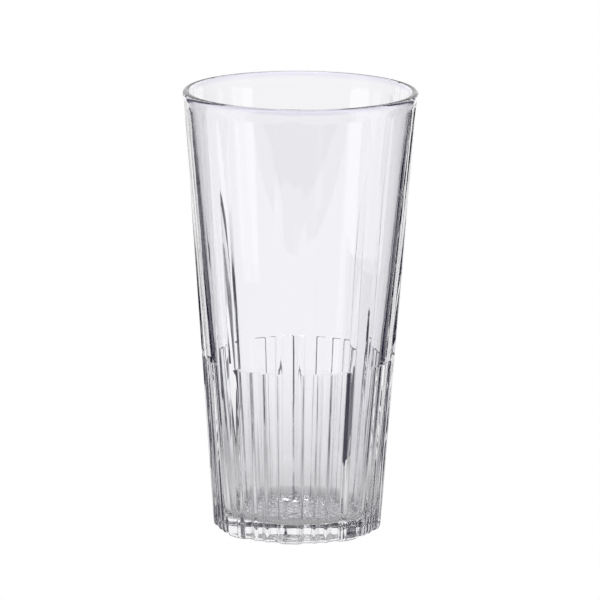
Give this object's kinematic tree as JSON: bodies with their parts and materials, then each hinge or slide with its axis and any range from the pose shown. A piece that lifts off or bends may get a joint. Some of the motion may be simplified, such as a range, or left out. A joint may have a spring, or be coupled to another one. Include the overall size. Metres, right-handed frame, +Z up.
{
  "type": "drinking tumbler",
  "caption": "Clear pressed glass tumbler: a tapered cup with plain windows above a ribbed band, between pillars that run from a lobed foot to a rounded rim.",
  "frame": {"origin": "centre of the surface that the glass stands on", "axes": "+Z up along the cup's axis; a pillar faces -Y"},
  "size_m": [0.0754, 0.0754, 0.143],
  "materials": {
    "glass": "clear gloss"
  },
  "bodies": {
    "root": {"tumbler": "glass"}
  },
  "joints": []
}
